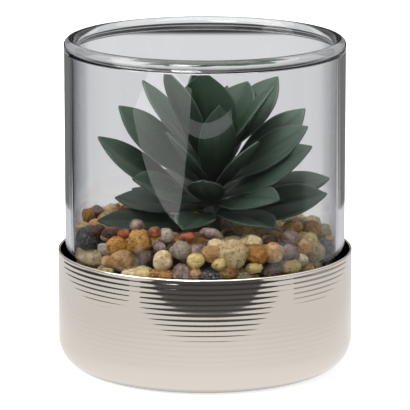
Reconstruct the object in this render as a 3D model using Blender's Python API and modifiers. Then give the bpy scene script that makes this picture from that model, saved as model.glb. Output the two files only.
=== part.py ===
"""A terrarium: a leafy succulent in a bed of pebbles, in a glass jar that stands in a shallow metal cup.

Metres, +Z up. The origin is the centre of the cup's flat underside, so the object stands on z = 0.
+X is to the right and -Y is towards the viewer.
"""

import math
import random

import bmesh
import bpy
import numpy as np
from mathutils import Euler, Matrix, Vector

MM = 0.001
SEAT_GAP = 0.3 * MM

# Sides of the turned pieces.
VESSEL_STEPS = 48
BED_STEPS = 40
STEM_STEPS = 14

# Metal cup: spun from thin sheet, with a generous heel and a plain rolled lip.
CUP_RADIUS = 50.0 * MM
CUP_HEIGHT = 40.4 * MM
CUP_WALL = 0.8 * MM
CUP_HEEL = 9.8 * MM

# Glass jar: a straight cylinder with a bead round its mouth.
JAR_RADIUS = 47.5 * MM
JAR_TOP = 112.5 * MM
JAR_WALL = 2.9 * MM
JAR_BASE = 5.0 * MM
JAR_HEEL = 8.6 * MM
JAR_INNER_HEEL = 5.5 * MM
BEAD_RADIUS = 2.3 * MM
BEAD_PROUD = 0.1 * MM
JAR_FOOT = CUP_WALL + SEAT_GAP
JAR_INNER_RADIUS = JAR_RADIUS - JAR_WALL
JAR_FLOOR = JAR_FOOT + JAR_BASE

# Pebble bed: fills the jar, dished up to the glass, most of all on the left.
BED_RADIUS = JAR_INNER_RADIUS - SEAT_GAP
BED_FOOT = JAR_FLOOR + SEAT_GAP
BED_CORE_INSET = 1.3 * MM
BED_CORE_DROP = 3.0 * MM
BED_LEVEL = 45.6 * MM
BED_DISH = 2.6 * MM
BED_LEAN = 1.8 * MM
BED_SEED = 11
PEBBLE_LAYER_FLOOR = 37.0 * MM
PEBBLE_SIZES = ((4.3, 5.0), (3.6, 4.3), (2.9, 3.6))
PEBBLE_DARTS = 900
PEBBLE_SPACING = 0.78
PEBBLE_SWELL = 1.1
PEBBLE_SUNK = 0.45

# Pebbles that show, laid by hand: across, back, height and radius in mm.
LAID_PEBBLES = (
    (-36.9, -17.0, 40.0, 3.8),
    (-25.2, -32.0, 41.5, 3.5),
    (-28.4, -31.0, 43.6, 2.4),
    (-19.2, -37.0, 40.0, 2.6),
    (-13.1, -38.5, 43.4, 3.5),
    (-7.6, -30.0, 45.9, 2.8),
    (-1.7, -41.5, 45.0, 2.3),
    (-6.9, -40.3, 41.0, 3.2),
    (-21.2, -25.0, 47.5, 3.6),
    (-28.0, -24.0, 46.6, 2.5),
    (-31.8, -24.0, 45.0, 2.7),
    (-40.4, -7.0, 44.9, 3.3),
    (-16.8, -16.0, 48.0, 1.9),
    (-12.8, -20.0, 48.0, 2.2),
    (-41.3, 5.0, 49.6, 2.5),
    (-37.8, 12.0, 50.0, 2.8),
    (-32.0, 17.0, 49.0, 2.2),
    (-36.0, -12.0, 46.4, 2.5),
    (-30.0, -16.0, 46.5, 2.2),
    (-6.7, -20.0, 47.4, 2.0),
    (9.0, -38.2, 46.2, 4.9),
    (2.1, -33.0, 47.0, 2.4),
    (1.8, -38.0, 46.0, 2.3),
    (1.8, -41.2, 41.0, 2.5),
    (11.2, -38.6, 39.8, 3.8),
    (15.6, -24.0, 47.0, 2.2),
    (16.9, -32.0, 46.0, 3.1),
    (21.6, -33.6, 45.6, 2.6),
    (19.7, -35.0, 40.4, 3.7),
    (26.0, -29.0, 44.9, 2.1),
    (27.0, -30.6, 40.8, 3.1),
    (28.0, -18.0, 46.0, 2.8),
    (23.8, -14.0, 46.6, 2.5),
    (36.5, -18.0, 43.2, 3.1),
    (36.5, -20.0, 39.5, 2.5),
    (32.0, -24.0, 43.8, 2.1),
    (37.5, 6.0, 45.4, 3.1),
    (41.4, 7.0, 46.4, 2.2),
    (41.0, -7.0, 43.0, 2.5),
    (40.0, -12.5, 40.6, 2.2),
)

# Stem: stands in a plain hole in the bed and carries every leaf.
STEM_X = 2.5 * MM
STEM_FOOT = 24.0 * MM
STEM_TOP = 77.5 * MM
STEM_RADIUS = 3.0 * MM
STEM_TOP_RADIUS = 1.9 * MM
STEM_SHOULDER = 14.0 * MM

# Leaf blade: keeled, widest beyond the middle, fleshy along the keel and thin at its edge.
LEAF_FLESH = 2.0 * MM
LEAF_ROOT = 1.2 * MM
LEAF_EDGE = 0.7 * MM
LEAF_FOLD = math.radians(20)
LEAF_UNFOLD = 0.35
LEAF_BASE_SHARE = 0.24
LEAF_WIDEST = 0.62
LEAF_TIP_SHARE = 0.03
LEAF_LENGTH_CELLS = 6
LEAF_WIDTH_CELLS = 4
LOW_LEAF_HEIGHT = 58.0 * MM

# Name, azimuth from +X, height of the base, rise at the base and at the tip, length, width and roll,
# in degrees and mm.
LEAVES = (
    ("leaf_ground_1", 191, 48.6, -3, 10, 38.5, 15.0, -21),
    ("leaf_ground_2", 140, 51.0, 8, 6, 36, 14.0, 0),
    ("leaf_ground_3", 90, 51.0, 10, 6, 34, 14.0, 0),
    ("leaf_ground_4", 40, 51.0, 8, 8, 35, 14.0, 0),
    ("leaf_ground_5", -14, 52.3, 1, 24, 39.5, 17.0, 36),
    ("leaf_ground_6", 254, 51.0, 8, 0, 33, 14.0, -6),
    ("leaf_ground_7", -55, 51.0, 8, -2, 34, 14.5, 8),
    ("leaf_lower_1", 171, 52.5, 2, 11, 33, 13.5, -24),
    ("leaf_lower_2", 3, 54.5, 10, 16, 40.5, 15.0, 28),
    ("leaf_lower_3", 214, 54.5, 18, 28, 34, 15.0, -36),
    ("leaf_lower_4", -50, 54.5, 14, 12, 34, 14.0, 30),
    ("leaf_lower_5", 118, 55.5, 20, 20, 34, 14.0, 0),
    ("leaf_lower_6", 62, 55.5, 20, 20, 34, 14.0, 0),
    ("leaf_lower_7", 262, 55.0, 16, 44, 27, 13.5, 0),
    ("leaf_middle_1", 183, 57.0, 16, 42, 43, 15.5, -30),
    ("leaf_middle_2", -22, 58.5, 26, 38, 40, 15.5, 36),
    ("leaf_middle_3", -8, 61.0, 28, 42, 38.5, 15.0, 36),
    ("leaf_middle_4", 236, 60.5, 34, 50, 36, 15.5, -32),
    ("leaf_middle_5", 128, 61.0, 34, 42, 34, 14.0, 0),
    ("leaf_middle_6", 75, 61.0, 34, 42, 34, 14.0, 0),
    ("leaf_middle_7", 306, 57.5, 24, 52, 33, 14.5, 20),
    ("leaf_upper_1", 178, 61.0, 32, 48, 42, 15.5, -32),
    ("leaf_upper_2", 12, 62.0, 28, 47, 40.5, 14.5, 32),
    ("leaf_upper_3", 276, 60.5, 30, 88, 40, 13.5, 4),
    ("leaf_upper_4", 150, 66.0, 38, 58, 39, 11.0, 6),
    ("leaf_upper_5", -28, 67.0, 50, 58, 38, 15.0, 25),
    ("leaf_upper_6", 98, 68.0, 50, 55, 31, 13.0, 0),
    ("leaf_crown_1", 222, 68.0, 48, 76, 43, 16.0, -10),
    ("leaf_crown_2", 22, 69.0, 44, 58, 37, 15.0, 20),
    ("leaf_crown_3", 60, 72.0, 50, 56, 29, 14.0, 0),
    ("leaf_crown_4", 130, 73.0, 66, 74, 28, 12.0, 0),
    ("leaf_crown_5", 254, 66.0, 44, 94, 43, 15.5, -8),
    ("leaf_heart_1", 20, 74.5, 72, 84, 22, 9.5, 0),
    ("leaf_heart_2", 165, 75.0, 76, 84, 20, 9.0, 0),
    ("leaf_heart_3", 290, 74.0, 70, 86, 23, 9.5, 0),
)


def clear_scene():
    for obj in list(bpy.data.objects):
        bpy.data.objects.remove(obj, do_unlink=True)


def new_collection(name):
    collection = bpy.data.collections.new(name)
    bpy.context.scene.collection.children.link(collection)
    return collection


def material(name, colour, roughness, metallic=0.0, transmission=0.0):
    made = bpy.data.materials.new(name)
    made.use_nodes = True
    shader = made.node_tree.nodes["Principled BSDF"]
    shader.inputs["Base Color"].default_value = (*colour, 1.0)
    shader.inputs["Roughness"].default_value = roughness
    shader.inputs["Metallic"].default_value = metallic
    shader.inputs["Transmission Weight"].default_value = transmission
    return made


def add_object(name, mesh, collection, finish=None):
    obj = bpy.data.objects.new(name, mesh)
    collection.objects.link(obj)
    if finish:
        mesh.materials.append(finish)
    return obj


def arc(centre_r, centre_z, radius, start_deg, end_deg, steps):
    """Points of a round stretch of a turned profile, both ends included."""
    points = []
    for i in range(steps + 1):
        angle = math.radians(start_deg + (end_deg - start_deg) * i / steps)
        points.append((centre_r + radius * math.cos(angle), centre_z + radius * math.sin(angle)))
    return points


def turned(name, profile, steps, collection, finish):
    """A solid of revolution: its profile starts at the axis and comes down the outer side to the axis."""
    mesh = bpy.data.meshes.new(name)
    edges = [(i, i + 1) for i in range(len(profile) - 1)]
    mesh.from_pydata([(r, 0.0, z) for r, z in profile], edges, [])
    obj = add_object(name, mesh, collection, finish)
    screw = obj.modifiers.new("turn", "SCREW")
    screw.axis = "Z"
    screw.steps = steps
    screw.render_steps = steps
    screw.use_merge_vertices = True
    screw.merge_threshold = 0.00001
    screw.use_smooth_shade = True
    return obj


def make_cup(collection):
    inner_radius = CUP_RADIUS - CUP_WALL
    inner_heel = CUP_HEEL - CUP_WALL
    lip = CUP_WALL / 2
    profile = [(0.0, CUP_WALL)]
    profile += arc(inner_radius - inner_heel, CUP_WALL + inner_heel, inner_heel, -90, 0, 6)
    profile += arc(CUP_RADIUS - lip, CUP_HEIGHT - lip, lip, 180, 0, 4)
    profile += arc(CUP_RADIUS - CUP_HEEL, CUP_HEEL, CUP_HEEL, 0, -90, 7)
    profile += [(0.0, 0.0)]
    finish = material("champagne_silver_metal", (0.60, 0.56, 0.52), 0.18, metallic=1.0)
    return turned("metal_cup", profile, VESSEL_STEPS, collection, finish)


def make_jar(collection):
    bead_centre = JAR_RADIUS + BEAD_PROUD - BEAD_RADIUS
    bead_height = JAR_TOP - BEAD_RADIUS
    inner_meet = math.degrees(math.acos((JAR_INNER_RADIUS - bead_centre) / BEAD_RADIUS))
    outer_meet = math.degrees(math.acos((JAR_RADIUS - bead_centre) / BEAD_RADIUS))
    profile = [(0.0, JAR_FLOOR)]
    inner = JAR_INNER_HEEL
    profile += arc(JAR_INNER_RADIUS - inner, JAR_FLOOR + inner, inner, -90, 0, 4)
    profile += arc(bead_centre, bead_height, BEAD_RADIUS, 360 - inner_meet, -outer_meet, 10)
    profile += arc(JAR_RADIUS - JAR_HEEL, JAR_FOOT + JAR_HEEL, JAR_HEEL, 0, -90, 5)
    profile += [(0.0, JAR_FOOT)]
    finish = material("clear_glass", (0.95, 0.96, 0.96), 0.02, transmission=1.0)
    return turned("glass_jar", profile, VESSEL_STEPS, collection, finish)


def bed_level(x, y):
    """Height of the bed's surface, which climbs towards the glass and more so on the left."""
    reach = math.hypot(x, y) / BED_RADIUS
    return BED_LEVEL + BED_DISH * reach**2 - BED_LEAN * reach * x / BED_RADIUS


def low_leaf_points():
    """Points spread through the flesh of the leaves that lie near the bed."""
    points = []
    for _, azimuth, base_z, rise, tip_rise, length, width, roll in LEAVES:
        if base_z * MM < LOW_LEAF_HEIGHT:
            rows = leaf_surface(azimuth, base_z, rise, tip_rise, length, width, roll, 14, 6)
            points += [place - Vector((0.0, 0.0, LEAF_FLESH / 2)) for row in rows for place, _ in row]
    return np.array(points)


def surface_spot(rng, radius):
    """A place for a pebble sunk in the bed's surface."""
    reach = (BED_RADIUS - radius) * math.sqrt(rng.random())
    angle = rng.uniform(0, math.tau)
    x, y = reach * math.cos(angle), reach * math.sin(angle)
    return Vector((x, y, bed_level(x, y) - PEBBLE_SUNK * radius))


def glass_spot(rng, radius):
    """A place for a pebble that lies against the glass, below the bed's surface."""
    angle = rng.uniform(0, math.tau)
    x, y = (BED_RADIUS - radius) * math.cos(angle), (BED_RADIUS - radius) * math.sin(angle)
    top = bed_level(x, y) - PEBBLE_SUNK * radius
    return Vector((x, y, rng.uniform(PEBBLE_LAYER_FLOOR + radius, top)))


def lay_pebbles():
    """Pebbles as (centre, radius): those laid by hand, then others thrown into the gaps, largest first."""
    rng = random.Random(BED_SEED)
    leaf_points = low_leaf_points()
    pebbles = [(Vector(place) * MM, radius * MM) for *place, radius in LAID_PEBBLES]
    for low, high in PEBBLE_SIZES:
        for find_spot in [surface_spot, glass_spot] * PEBBLE_DARTS:
            radius = rng.uniform(low, high) * MM
            spot = find_spot(rng, radius)
            near_stem = math.hypot(spot.x - STEM_X, spot.y) < STEM_RADIUS + radius
            crowded = any((spot - other).length < PEBBLE_SPACING * (radius + size) for other, size in pebbles)
            if not near_stem and not crowded:
                pebbles.append((spot, radius))
    clear = []
    for centre, radius in pebbles:
        needed = PEBBLE_SWELL * radius + LEAF_FLESH / 2 + 2 * SEAT_GAP
        if np.linalg.norm(leaf_points - np.array(centre), axis=1).min() > needed:
            clear.append((centre, radius))
    return clear


def pebble_shape(name, centre, radius, rng, collection):
    """One rounded, uneven pebble about the given centre."""
    mesh = bpy.data.meshes.new(name)
    shape = bmesh.new()
    bmesh.ops.create_icosphere(shape, subdivisions=1, radius=1.0)
    turn = Euler([rng.uniform(0, math.tau) for _ in range(3)]).to_matrix().to_4x4()
    size = Matrix.Diagonal((*[radius * PEBBLE_SWELL * rng.uniform(0.92, 1.0) for _ in range(3)], 1.0))
    shape.transform(Matrix.Translation(centre) @ turn @ size)
    shape.to_mesh(mesh)
    shape.free()
    return add_object(name, mesh, collection)


def apply_modifiers(obj):
    """Replaces the object's mesh by what its modifiers make of it."""
    graph = bpy.context.evaluated_depsgraph_get()
    made = bpy.data.meshes.new_from_object(obj.evaluated_get(graph))
    obj.modifiers.clear()
    obj.data = made


def fuse(body, repeats):
    """Joins a collection's objects to the body, removes them, and drops loose scraps and sealed hollows."""
    union = body.modifiers.new("fuse", "BOOLEAN")
    union.operation = "UNION"
    union.operand_type = "COLLECTION"
    union.collection = repeats
    union.solver = "MANIFOLD"
    apply_modifiers(body)
    for repeat in list(repeats.objects):
        bpy.data.objects.remove(repeat, do_unlink=True)
    bpy.data.collections.remove(repeats)
    shape = bmesh.new()
    shape.from_mesh(body.data)
    largest = max(islands(shape), key=len)
    bmesh.ops.delete(shape, geom=[v for v in shape.verts if v not in largest], context="VERTS")
    shape.to_mesh(body.data)
    shape.free()


def islands(shape):
    """The sets of points that hang together by edges."""
    unseen = set(shape.verts)
    found = []
    while unseen:
        reached = {unseen.pop()}
        edge_of_search = list(reached)
        while edge_of_search:
            vert = edge_of_search.pop()
            for edge in vert.link_edges:
                other = edge.other_vert(vert)
                if other in unseen:
                    unseen.remove(other)
                    reached.add(other)
                    edge_of_search.append(other)
        found.append(reached)
    return found


def make_bed_core(collection):
    """The filling below the pebbles that show: turned, then leant over like the bed's surface."""
    core_radius = BED_RADIUS - BED_CORE_INSET
    heel = JAR_INNER_HEEL
    top_steps = 4
    profile = []
    for i in range(top_steps + 1):
        r = core_radius * i / top_steps
        profile.append((r, bed_level(0.0, r) - BED_CORE_DROP))
    profile += [(core_radius, PEBBLE_LAYER_FLOOR), (BED_RADIUS, PEBBLE_LAYER_FLOOR - BED_CORE_INSET)]
    profile += arc(BED_RADIUS - heel, BED_FOOT + heel, heel, 0, -90, 3)
    profile += [(0.0, BED_FOOT)]
    finish = material("river_pebbles", (0.45, 0.33, 0.20), 0.55)
    bed = turned("pebble_bed", profile, BED_STEPS, collection, finish)
    apply_modifiers(bed)
    for vert in bed.data.vertices:
        if vert.co.z > PEBBLE_LAYER_FLOOR + BED_CORE_DROP:
            vert.co.z += bed_level(vert.co.x, vert.co.y) - bed_level(0.0, vert.co.xy.length)
    return bed


def make_bed(collection, cutters):
    """The pebbles, fused to a core that fills the jar below them, with a plain hole for the stem."""
    bed = make_bed_core(collection)
    pebbles = new_collection("pebbles")
    rng = random.Random(BED_SEED + 1)
    for i, (centre, radius) in enumerate(lay_pebbles()):
        centre.xy *= min(1.0, (BED_RADIUS - PEBBLE_SWELL * radius) / centre.xy.length)
        pebble_shape(f"pebble_{i}", centre, radius, rng, pebbles)
    fuse(bed, pebbles)

    hole_foot = STEM_FOOT - SEAT_GAP
    hole_depth = JAR_TOP - hole_foot
    bpy.ops.mesh.primitive_cylinder_add(
        vertices=16,
        radius=STEM_RADIUS + SEAT_GAP,
        depth=hole_depth,
        location=(STEM_X, 0.0, hole_foot + hole_depth / 2),
    )
    drill = bpy.context.active_object
    drill.name = "stem_hole_cutter"
    drill.hide_render = True
    drill.display_type = "WIRE"
    for owner in drill.users_collection:
        owner.objects.unlink(drill)
    cutters.objects.link(drill)
    cut = bed.modifiers.new("stem_hole", "BOOLEAN")
    cut.operation = "DIFFERENCE"
    cut.object = drill
    return bed


def make_stem(collection, finish):
    """A tapering upright with a rounded top, turned about the world's axis and shifted to its place."""
    profile = [(0.0, STEM_TOP)]
    profile += arc(0.0, STEM_TOP - STEM_TOP_RADIUS, STEM_TOP_RADIUS, 60, 0, 2)
    profile += [(STEM_RADIUS, STEM_TOP - STEM_SHOULDER), (STEM_RADIUS, STEM_FOOT), (0.0, STEM_FOOT)]
    stem = turned("succulent", profile, STEM_STEPS, collection, finish)
    stem.location.x = STEM_X
    return stem


def blade_share(s):
    """Half-width of the blade at s along it, as a share of its greatest half-width.

    It swells slowly from a narrow base to its widest and rounds off from there into a pointed tip.
    """
    if s < LEAF_WIDEST:
        q = s / LEAF_WIDEST
        return LEAF_BASE_SHARE + (1 - LEAF_BASE_SHARE) * math.sin(q * math.pi / 2) ** 1.6
    q = (s - LEAF_WIDEST) / (1 - LEAF_WIDEST)
    return max(LEAF_TIP_SHARE, (1 - q**2.1) * (1 - 0.15 * q))


def leaf_surface(azimuth, base_z, rise, tip_rise, length, width, roll, cells_long, cells_wide):
    """Rows of points of the leaf's upper face, from its base to its tip, and each point's share of flesh."""
    azimuth, rise, tip_rise, roll = (math.radians(angle) for angle in (azimuth, rise, tip_rise, roll))
    base_z, length, width = base_z * MM, length * MM, width * MM
    outward = Vector((math.cos(azimuth), math.sin(azimuth), 0.0))
    side = Vector((-outward.y, outward.x, 0.0))
    start = Vector((STEM_X, 0.0, base_z)) + outward * LEAF_ROOT
    rows = []
    point = start
    steps_per_cell = 6
    for i in range(cells_long + 1):
        s = i / cells_long
        if i:
            for k in range(steps_per_cell):
                at = (i - 1 + (k + 0.5) / steps_per_cell) / cells_long
                angle = rise + (tip_rise - rise) * at
                direction = outward * math.cos(angle) + Vector((0, 0, math.sin(angle)))
                point = point + direction * (length / cells_long / steps_per_cell)
        angle = rise + (tip_rise - rise) * s
        tangent = outward * math.cos(angle) + Vector((0, 0, math.sin(angle)))
        turn = Matrix.Rotation(roll * min(1.0, 1.6 * s + 0.25), 3, tangent)
        across = turn @ side
        up = turn @ side.cross(-tangent)
        half = width / 2 * blade_share(s)
        fold = LEAF_FOLD * (1 - LEAF_UNFOLD * s)
        row = []
        for j in range(cells_wide + 1):
            u = 2 * j / cells_wide - 1
            lift = half * abs(u) ** 1.3 * math.sin(fold)
            place = point + across * (half * u * math.cos(fold)) + up * lift
            flesh = 1 - (1 - LEAF_EDGE / LEAF_FLESH) * max(abs(u) ** 1.5, s**2.5)
            row.append((place, flesh))
        rows.append(row)
    return rows


def make_leaf(name, azimuth, base_z, rise, tip_rise, length, width, roll, collection):
    """One keeled leaf: an open folded blade, thickened downwards by Solidify, most along its keel."""
    cells = (LEAF_LENGTH_CELLS, LEAF_WIDTH_CELLS)
    rows = leaf_surface(azimuth, base_z, rise, tip_rise, length, width, roll, *cells)
    blade = bmesh.new()
    bmesh.ops.create_grid(blade, x_segments=LEAF_WIDTH_CELLS, y_segments=LEAF_LENGTH_CELLS, size=1.0)
    blade.verts.ensure_lookup_table()
    columns = LEAF_WIDTH_CELLS + 1
    for vert in blade.verts:
        i, j = divmod(vert.index, columns)
        vert.co = rows[i][j][0]
    mesh = bpy.data.meshes.new(name)
    blade.to_mesh(mesh)
    blade.free()
    leaf = add_object(name, mesh, collection)
    flesh = leaf.vertex_groups.new(name="flesh")
    for i, row in enumerate(rows):
        for j, (_, share) in enumerate(row):
            flesh.add([i * columns + j], share, "REPLACE")
    solidify = leaf.modifiers.new("flesh", "SOLIDIFY")
    solidify.thickness = LEAF_FLESH
    solidify.offset = -1.0
    solidify.vertex_group = "flesh"
    solidify.use_rim = True
    return leaf


def make_plant(collection):
    """The stem with its leaves fused to it."""
    green = material("leaf_green", (0.030, 0.065, 0.045), 0.35)
    plant = make_stem(collection, green)
    leaves = new_collection("leaves")
    for leaf in LEAVES:
        make_leaf(*leaf, leaves)
    fuse(plant, leaves)


def main():
    clear_scene()
    terrarium = new_collection("terrarium")
    cutters = new_collection("cutters")
    make_cup(terrarium)
    make_jar(terrarium)
    make_bed(terrarium, cutters)
    make_plant(terrarium)


main()
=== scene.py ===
"""A table terrarium: an artificial succulent in river pebbles, in a clear glass jar set in a metal cup.

Metres, +Z up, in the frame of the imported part. +X is to the right and -Y is towards the viewer.
"""

import math
import random

import bmesh
import bpy
import numpy as np
from mathutils import Euler, Matrix, Vector, noise


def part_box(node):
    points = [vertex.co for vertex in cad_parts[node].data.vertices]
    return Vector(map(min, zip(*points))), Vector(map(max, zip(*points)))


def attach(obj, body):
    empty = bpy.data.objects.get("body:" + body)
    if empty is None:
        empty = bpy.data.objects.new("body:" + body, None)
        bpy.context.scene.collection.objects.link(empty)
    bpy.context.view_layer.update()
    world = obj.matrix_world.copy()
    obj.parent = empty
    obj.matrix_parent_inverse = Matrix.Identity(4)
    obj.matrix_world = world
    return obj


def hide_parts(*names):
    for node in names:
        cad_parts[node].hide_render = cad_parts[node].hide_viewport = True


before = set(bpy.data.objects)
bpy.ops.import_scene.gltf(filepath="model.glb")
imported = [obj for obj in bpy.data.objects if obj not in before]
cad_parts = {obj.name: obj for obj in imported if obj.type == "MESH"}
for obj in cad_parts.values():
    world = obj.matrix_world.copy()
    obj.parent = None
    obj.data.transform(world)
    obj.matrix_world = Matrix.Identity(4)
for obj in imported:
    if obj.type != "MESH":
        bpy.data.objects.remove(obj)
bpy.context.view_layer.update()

# Metal cup. The real one is thin steel spun over a form, plated in champagne nickel and polished.
# The spinner's roller leaves fine level rings up the wall, a little deeper towards the lip, too shallow
# to feel, which show only where they tip a reflection up or down.
MM = 0.001
CUP_LOW, CUP_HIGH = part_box("metal_cup")
CUP_RADIUS = CUP_HIGH.x
CUP_HEIGHT = CUP_HIGH.z
CUP_WALL = 0.8 * MM
CUP_HEEL = 9.8 * MM
CUP_LIP = CUP_WALL / 2
RING_PITCH = 1.735 * MM
RING_SLOPE = math.radians(2.0)
RING_SLOPE_AT_LIP = math.radians(3.3)
RINGS_DEEPEN_FROM = 24 * MM
RING_CREST = 0.72
RING_START = 0.3
RING_POINTS = 14
CUP_TURN_STEPS = 224


def arc(centre_r, centre_z, radius, start_deg, end_deg, steps):
    """Points of a round stretch of a turned profile, both ends included."""
    points = []
    for i in range(steps + 1):
        angle = math.radians(start_deg + (end_deg - start_deg) * i / steps)
        points.append((centre_r + radius * math.cos(angle), centre_z + radius * math.sin(angle)))
    return points


def held_straight(profile, near):
    """The profile with a point near each end of its long runs, which keeps the shading there flat."""
    points = [profile[0]]
    for a, b in zip(profile, profile[1:]):
        length = math.dist(a, b)
        if length > 4 * near:
            for share in (near / length, 1 - near / length):
                points.append((a[0] + (b[0] - a[0]) * share, a[1] + (b[1] - a[1]) * share))
        points.append(b)
    return points


def turned(name, profile, steps):
    """A solid turned about the Z axis from a profile that comes down its outer side."""
    profile = held_straight(profile, 0.3 * MM)
    mesh = bpy.data.meshes.new(name)
    mesh.from_pydata([(r, 0.0, z) for r, z in profile], [(i, i + 1) for i in range(len(profile) - 1)], [])
    piece = bpy.data.objects.new(name, mesh)
    bpy.context.scene.collection.objects.link(piece)
    screw = piece.modifiers.new("turn", "SCREW")
    screw.axis = "Z"
    screw.steps = steps
    screw.render_steps = steps
    screw.use_merge_vertices = True
    screw.merge_threshold = 1e-7
    screw.use_smooth_shade = True
    return piece


def ring_height(turn):
    """Height of a ring's profile, where its slope is a narrow crest of 1 and a wide trough of -0.45."""
    return (15 * math.sin(turn) + 3 * math.sin(2 * turn) + math.sin(3 * turn) / 3) / 22


def ringed_wall(top, bottom):
    """The outer wall from top to bottom, with its rings; the outermost points keep the cup's radius."""
    count = round((top - bottom) / RING_PITCH * RING_POINTS)
    points = []
    for i in range(count + 1):
        z = top + (bottom - top) * i / count
        ring = RING_CREST - ring_height(math.tau * ((top - z) / RING_PITCH + RING_START))
        deepening = max(0.0, (z - RINGS_DEEPEN_FROM) / (top - RINGS_DEEPEN_FROM))
        slope = RING_SLOPE + (RING_SLOPE_AT_LIP - RING_SLOPE) * deepening
        fade = min(1.0, (z - bottom) / RING_PITCH)
        points.append((CUP_RADIUS - slope * RING_PITCH / math.tau * ring * fade, z))
    return points


def linear(hex_colour):
    """A colour given as an sRGB hex value, as the linear numbers that the shaders take."""
    channels = [int(hex_colour[i : i + 2], 16) / 255 for i in (1, 3, 5)]
    return tuple(c / 12.92 if c <= 0.04045 else ((c + 0.055) / 1.055) ** 2.4 for c in channels) + (1.0,)


def new_material(name):
    """A material with its node tree and its Principled shader."""
    made = bpy.data.materials.new(name)
    made.use_nodes = True
    return made, made.node_tree, made.node_tree.nodes["Principled BSDF"]


def add_node(tree, kind, links=(), **settings):
    """Adds a node. Settings name its attributes or inputs; links are (its input, the socket it takes)."""
    node = tree.nodes.new(kind)
    for key, value in settings.items():
        if hasattr(node, key):
            setattr(node, key, value)
        else:
            node.inputs[key.replace("_", " ")].default_value = value
    for socket, source in links:
        tree.links.new(source, node.inputs[socket])
    return node


# Nickel-plated steel, polished bright: nearly a mirror, with a faint haze of level polishing lines.
METAL_COLOUR = "#E9DFD5"
POLISH_LINE = 0.12 * MM
POLISH_STRETCH = 0.02
HAZE_LOW, HAZE_HIGH = 0.03, 0.075

plated_steel, tree, shader = new_material("champagne_nickel_plated_steel")
shader.inputs["Base Color"].default_value = linear(METAL_COLOUR)
shader.inputs["Metallic"].default_value = 1.0
place = add_node(tree, "ShaderNodeTexCoord")
level = add_node(tree, "ShaderNodeMapping", [("Vector", place.outputs["Object"])])
level.inputs["Scale"].default_value = (POLISH_STRETCH, POLISH_STRETCH, 1.0)
lines = add_node(tree, "ShaderNodeTexNoise", [("Vector", level.outputs["Vector"])],
                 Scale=1 / POLISH_LINE / 4, Detail=2.0)
haze = add_node(tree, "ShaderNodeMapRange", [("Value", lines.outputs["Fac"])],
                To_Min=HAZE_LOW, To_Max=HAZE_HIGH)
tree.links.new(haze.outputs["Result"], shader.inputs["Roughness"])

inner_radius = CUP_RADIUS - CUP_WALL
inner_heel = CUP_HEEL - CUP_WALL
cup_profile = [(0.0, CUP_WALL)]
cup_profile += arc(inner_radius - inner_heel, CUP_WALL + inner_heel, inner_heel, -90, 0, 16)
cup_profile += arc(CUP_RADIUS - CUP_LIP, CUP_HEIGHT - CUP_LIP, CUP_LIP, 180, 0, 12)
cup_profile += ringed_wall(CUP_HEIGHT - CUP_LIP, CUP_HEEL)[1:-1]
cup_profile += arc(CUP_RADIUS - CUP_HEEL, CUP_HEEL, CUP_HEEL, 0, -90, 24)
cup_profile += [(0.0, 0.0)]
cup = turned("spun_cup", cup_profile, CUP_TURN_STEPS)
cup.data.materials.append(plated_steel)
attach(cup, "root")
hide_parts("metal_cup")

# Glass jar. Pressed clear glass, a straight cylinder with a thick foot, stood loose in the cup.
# Its rim was melted back in a flame into a round bead, which bends what is behind it into thin lines.
# At glancing angles and on the bead's underside the glass is painted a little grey, painted shade standing in
# for the dark room seen through it, as fitted to the picture.
JAR_LOW, JAR_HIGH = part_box("glass_jar")
JAR_RADIUS = 47.5 * MM
JAR_WALL = 2.9 * MM
JAR_INNER_RADIUS = JAR_RADIUS - JAR_WALL
JAR_FLOOR = JAR_LOW.z + 5.0 * MM
JAR_HEEL = 8.6 * MM
JAR_INNER_HEEL = 5.5 * MM
BEAD_RADIUS = 2.3 * MM
BEAD_PROUD = 0.1 * MM
JAR_TURN_STEPS = 256
GLASS_TINT = "#FEFEFF"
GLASS_EDGE_PAINTED_SHADE = "#CBCDD2"
GLASS_IOR = 1.5
RIM_UNDERSIDE_PAINTED_SHADE = "#A6A9A9"
RIM_FOOT, RIM_FULL = 106.5 * MM, 107.5 * MM
RIM_MIDDLE_LOW, RIM_MIDDLE_HIGH = 109.8 * MM, 110.2 * MM

clear_glass, tree, shader = new_material("clear_soda_lime_glass")
# Painted shade: the glass is greyed at glancing angles, standing in for the dark room that the edges bend
# into view.
grazing = add_node(tree, "ShaderNodeLayerWeight", Blend=0.5)
edge_painted_shade_share = add_node(tree, "ShaderNodeMapRange", [("Value", grazing.outputs["Facing"])],
                      From_Min=0.5, From_Max=0.62, interpolation_type="SMOOTHSTEP")
glass_colour_and_edge_shade = add_node(tree, "ShaderNodeMix", [("Factor", edge_painted_shade_share.outputs["Result"])], data_type="RGBA")
glass_colour_and_edge_shade.inputs[6].default_value = linear(GLASS_TINT)
glass_colour_and_edge_shade.inputs[7].default_value = linear(GLASS_EDGE_PAINTED_SHADE)
# Painted shade: the slanted underside of the rim's bead is greyed further, standing in for the dark band of
# the room that the bead shows.
where = add_node(tree, "ShaderNodeTexCoord")
height = add_node(tree, "ShaderNodeSeparateXYZ", [("Vector", where.outputs["Object"])])
at_rim = add_node(tree, "ShaderNodeMapRange", [("Value", height.outputs["Z"])],
                  From_Min=RIM_FOOT, From_Max=RIM_FULL)
surface = add_node(tree, "ShaderNodeNewGeometry")
normal = add_node(tree, "ShaderNodeSeparateXYZ", [("Vector", surface.outputs["True Normal"])])
upright = add_node(tree, "ShaderNodeMath", [(0, normal.outputs["Z"])], operation="ABSOLUTE")
slanted = add_node(tree, "ShaderNodeMapRange", [("Value", upright.outputs["Value"])],
                   From_Min=0.08, From_Max=0.35)
below_middle = add_node(tree, "ShaderNodeMapRange", [("Value", height.outputs["Z"])],
                        From_Min=RIM_MIDDLE_LOW, From_Max=RIM_MIDDLE_HIGH, To_Min=1.0, To_Max=0.0)
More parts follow.
